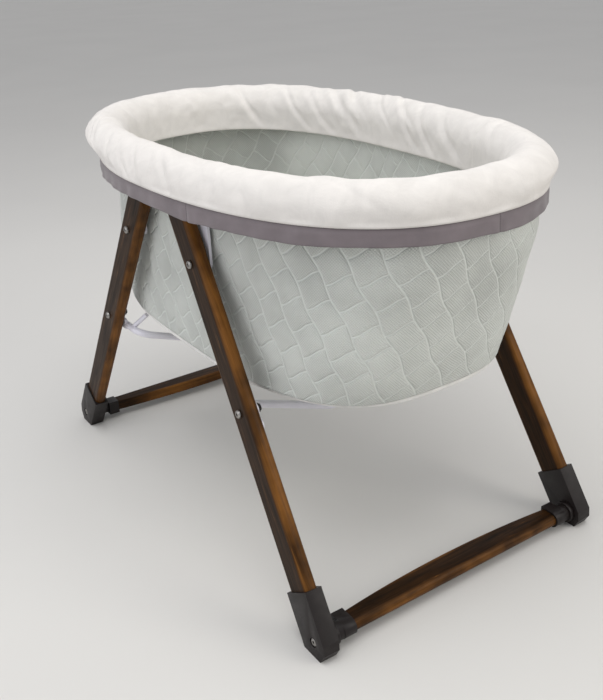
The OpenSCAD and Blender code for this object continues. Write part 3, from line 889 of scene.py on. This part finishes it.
def turned(axis_point, sign, rows):
    """One turned part about the Y direction. rows are (radius, outward place, squareness to a hexagon) and a
    point is the radius times the hexagon's reach at its angle, mixed by the squareness."""
    turn = np.linspace(0, TAU, 36, endpoint=False)[:, None]
    rows = np.array(rows)
    radius, place, six = rows[None, :, 0], rows[None, :, 1], rows[None, :, 2]
    hexagon = math.cos(math.pi / 6) / np.cos(np.mod(turn, math.pi / 3) - math.pi / 6)
    radius = radius * (1 + six * (hexagon - 1))
    x = axis_point[0] + radius * np.cos(turn)
    z = axis_point[2] + radius * np.sin(turn)
    y = sign * (axis_point[1] + place) + 0 * x
    points = np.stack([x, y, z], -1)
    return grid(points, True, False, np.arange(37.0), np.arange(points.shape[1] + 1.0))


class BASSINET_OT_bolts(bpy.types.Operator):
    """Hex-socket button-head bolts at the leg pivots, cross tubes and rocker rails"""

    bl_idname = "bassinet.bolts"
    bl_label = "Bolts"

    def execute(self, context):
        zinc = zinc_finish()
        for name, body in (
            ("pivot_bolts", "basket"), ("mid_bolts_head", "frame_head"), ("mid_bolts_foot", "frame_foot"),
            ("rail_bolts_head", "frame_head"), ("rail_bolts_foot", "frame_foot"),
        ):
            low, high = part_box(name)
            co = np.array([v.co for v in NODES[name].data.vertices])
            head_r, shank, tall = (0.0065, 0.004, 0.0031) if name.startswith("rail") else (0.006, 0.003, 0.004)
            grids = []
            for side_x in ((1, -1) if name == "pivot_bolts" else (1 if high.x > 0 and low.x > 0 else -1,)):
                part = co[co[:, 0] * side_x > 0]
                x = (part[:, 0].min() + part[:, 0].max()) / 2
                z = (part[:, 2].min() + part[:, 2].max()) / 2
                for side_y in (1, -1):
                    ys = np.abs(part[part[:, 1] * side_y > 0][:, 1])
                    tip, top = float(ys.min()), float(ys.max())
                    seat = top - tall
                    rows = [
                        (0.0, tip, 0), (shank - 0.0006, tip, 0), (shank, tip + 0.0008, 0), (shank, seat, 0),
                        (head_r, seat, 0), (head_r, seat + 0.15 * tall, 0),
                        (head_r * 0.985, seat + 0.45 * tall, 0), (head_r * 0.9, seat + 0.75 * tall, 0),
                        (head_r * 0.72, seat + 0.95 * tall, 0), (head_r * 0.56, top, 0),
                        (0.0030, top, 0.3), (0.0026, top - 0.0003, 1),
                        (0.0025, top - 0.0020, 1), (0.0, top - 0.0024, 1),
                    ]
                    grids.append(turned((x, 0.0, z), side_y, rows))
            piece = skin(name.replace("bolts", "screws"), grids, merge=1e-6)
            set_out(piece, body, "bolt_steel", zinc, name)
            split = piece.modifiers.new("ease", "EDGE_SPLIT")
            split.split_angle = math.radians(40)
        return {"FINISHED"}


def eased(node, body, slot, finish, width, segments=3):
    """A copy of a CAD node whose hard edges are rounded by width. The copy's triangles are merged into flat
    faces first."""
    work = bmesh.new()
    work.from_mesh(NODES[node].data)
    bmesh.ops.remove_doubles(work, verts=work.verts, dist=2e-6)
    bmesh.ops.dissolve_limit(work, angle_limit=math.radians(0.6), verts=work.verts, edges=work.edges)
    mesh = bpy.data.meshes.new("eased_" + node)
    work.to_mesh(mesh)
    work.free()
    piece = bpy.data.objects.new("eased_" + node, mesh)
    bpy.context.scene.collection.objects.link(piece)
    bevel = piece.modifiers.new("ease", "BEVEL")
    bevel.width, bevel.segments = width, segments
    bevel.limit_method, bevel.angle_limit = "ANGLE", math.radians(28)
    bevel.harden_normals = True
    mesh.polygons.foreach_set("use_smooth", np.ones(len(mesh.polygons), bool))
    return set_out(piece, body, slot, finish, node)


class BASSINET_OT_wood(bpy.types.Operator):
    """Stained wooden legs and rocker rails"""

    bl_idname = "bassinet.wood"
    bl_label = "Wooden legs and rails"

    def execute(self, context):
        stand = context.scene.bassinet_stand
        for end, sign in (("head", 1), ("foot", -1)):
            grain = (sign * math.sin(LEG_LEAN), 0.0, -math.cos(LEG_LEAN))
            across = (sign * math.cos(LEG_LEAN), 0.0, math.sin(LEG_LEAN))
            middle = LEG_PIVOT[0] * math.cos(LEG_LEAN) + LEG_PIVOT[1] * math.sin(LEG_LEAN)
            for side in ("left", "right"):
                node = NODES[f"leg_{end}_{side}"]
                node.data.materials.clear()
                node.data.materials.append(
                    walnut_finish(f"walnut_stain_leg_{end}_{side}", stand, grain, across, middle, LEG_HALF)
                )
            low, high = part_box(f"rail_{end}")
            middle, half = (low.x + high.x) / 2, (high.x - low.x) / 2
            finish = walnut_finish(
                f"walnut_stain_rail_{end}", stand, (0.0, 1.0, 0.0), (1.0, 0.0, 0.0), middle, half
            )
            eased(f"rail_{end}", f"rocker_{end}", "walnut", finish, 0.003, 4)
        return {"FINISHED"}


class BASSINET_OT_fittings(bpy.types.Operator):
    """Moulded boots, collars and discs, painted steel, nuts and the base board"""

    bl_idname = "bassinet.fittings"
    bl_label = "Plastic and steel fittings"

    def execute(self, context):
        stand = context.scene.bassinet_stand
        nylon, coat, board = plastic_finish(stand), steel_finish(stand), board_finish()
        zinc = bpy.data.materials["zinc_plated_steel"]
        for end in ("head", "foot"):
            for side in ("left", "right"):
                eased(f"boot_{end}_{side}", f"frame_{end}", "dark_plastic", nylon, stand.ease)
            eased(f"collars_{end}", f"rocker_{end}", "dark_plastic", nylon, stand.ease * 0.6)
            eased(f"swivel_discs_{end}", f"frame_{end}", "dark_plastic", nylon, stand.ease * 0.4)
        for name, node in NODES.items():
            if name.startswith(("mid_nuts", "pivot_spacers")):
                finish = nylon
            elif name.startswith(("cross_tube", "tube_posts", "rim_tube", "hanger_plates", "base_hoop")):
                finish = coat
            elif name.startswith("pivot_nuts"):
                finish = zinc
            elif name.startswith("base_board"):
                finish = board
            else:
                continue
            node.data.materials.clear()
            node.data.materials.append(finish)
        return {"FINISHED"}


class BASSINET_OT_stage(bpy.types.Operator):
    """Plain pale floor, soft studio light and the camera"""

    bl_idname = "bassinet.stage"
    bl_label = "Floor, light and camera"

    def execute(self, context):
        stage = context.scene.bassinet_stage
        line = np.linspace(-30, 30, 5)
        x, y = np.meshgrid(line, line, indexing="ij")
        mesh = bpy.data.meshes.new("floor")
        flat, faces, _ = grid(np.stack([x, y, 0 * x], -1), False, False, line, line)
        mesh.from_pydata(flat, [], faces)
        floor = bpy.data.objects.new("floor", mesh)
        if mesh.polygons[0].normal.z < 0:
            mesh.flip_normals()
        context.scene.collection.objects.link(floor)
        finish, tree, body = new_finish("matt_floor", Roughness=0.75)
        stops = [(0.3, shade(stage.floor, 0.97)), (0.7, tuple(stage.floor))]
        mottled(tree, body, stops, Scale=1.5, Detail=2.0)
        mesh.materials.append(finish)
        world = bpy.data.worlds.new("studio")
        world.use_nodes = True
        world.node_tree.nodes["Background"].inputs["Color"].default_value = linear("#e6e7ea")
        world.node_tree.nodes["Background"].inputs["Strength"].default_value = 0.68
        context.scene.world = world
        for name, place, aim, size, power, tint in (
            ("overhead", (0.3, -0.5, 2.9), (0.0, 0.0, 0.3), 2.6, stage.key, "#ffffff"),
            ("window", (2.6, 1.6, 1.9), (0.1, 0.0, 0.25), 1.6, stage.side, "#fffaf2"),
            ("fill", (-0.4, -3.0, 1.3), (0.0, 0.0, 0.3), 2.2, 18.0, "#f4f6ff"),
        ):
            lamp = bpy.data.lights.new(name, "AREA")
            lamp.shape, lamp.size, lamp.energy, lamp.color = "SQUARE", size, power, linear(tint)[:3]
            light = bpy.data.objects.new(name, lamp)
            light.location = place
            light.rotation_euler = (Vector(aim) - Vector(place)).to_track_quat("-Z", "Y").to_euler()
            context.scene.collection.objects.link(light)
        camera = bpy.data.cameras.new("camera")
        camera.sensor_fit, camera.sensor_width, camera.lens = "HORIZONTAL", 36.0, stage.lens
        eye = bpy.data.objects.new("camera", camera)
        yaw, dip, roll = math.radians(147.22), math.radians(25.03), math.radians(-2.78)
        ahead = Vector((math.cos(yaw) * math.cos(dip), math.sin(yaw) * math.cos(dip), -math.sin(dip)))
        right = Vector((math.sin(yaw), -math.cos(yaw), 0.0))
        up = right.cross(ahead)
        right, up = right * math.cos(roll) + up * math.sin(roll), up * math.cos(roll) - right * math.sin(roll)
        turn = Matrix((right, up, -ahead)).transposed().to_4x4()
        eye.matrix_world = Matrix.Translation((1.1768, -0.7535, 0.8818)) @ turn
        camera.clip_start, camera.clip_end = 0.05, 100.0
        context.scene.collection.objects.link(eye)
        context.scene.camera = eye
        context.scene.view_settings.view_transform = "Standard"
        return {"FINISHED"}


class BASSINET_PT_panel(bpy.types.Panel):
    """The bassinet's settings and pieces"""

    bl_idname = "BASSINET_PT_panel"
    bl_label = "Bassinet on stand"
    bl_space_type = "VIEW_3D"
    bl_region_type = "UI"
    bl_category = "Bassinet"

    def draw(self, context):
        scene = context.scene
        for title, group in (
            ("Cloth", scene.bassinet_cloth), ("Stand", scene.bassinet_stand), ("Stage", scene.bassinet_stage)
        ):
            box = self.layout.box()
            box.label(text=title)
            for name in group.__annotations__:
                box.prop(group, name)
        column = self.layout.column(align=True)
        for step in STEPS:
            column.operator(step.bl_idname)


STEPS = (
    BASSINET_OT_stage,
    BASSINET_OT_plush_rim,
    BASSINET_OT_satin_band,
    BASSINET_OT_quilted_wall,
    BASSINET_OT_bottom,
    BASSINET_OT_mattress,
    BASSINET_OT_bolts,
    BASSINET_OT_wood,
    BASSINET_OT_fittings,
)
CLASSES = (BassinetClothSettings, BassinetStandSettings, BassinetStageSettings, *STEPS, BASSINET_PT_panel)


def register():
    for kind in CLASSES:
        bpy.utils.register_class(kind)
    bpy.types.Scene.bassinet_cloth = bpy.props.PointerProperty(type=BassinetClothSettings)
    bpy.types.Scene.bassinet_stand = bpy.props.PointerProperty(type=BassinetStandSettings)
    bpy.types.Scene.bassinet_stage = bpy.props.PointerProperty(type=BassinetStageSettings)


def unregister():
    del bpy.types.Scene.bassinet_cloth, bpy.types.Scene.bassinet_stand, bpy.types.Scene.bassinet_stage
    for kind in reversed(CLASSES):
        bpy.utils.unregister_class(kind)


def main():
    register()
    for step in STEPS:
        group, name = step.bl_idname.split(".")
        getattr(getattr(bpy.ops, group), name)()


if __name__ == "__main__":
    main()
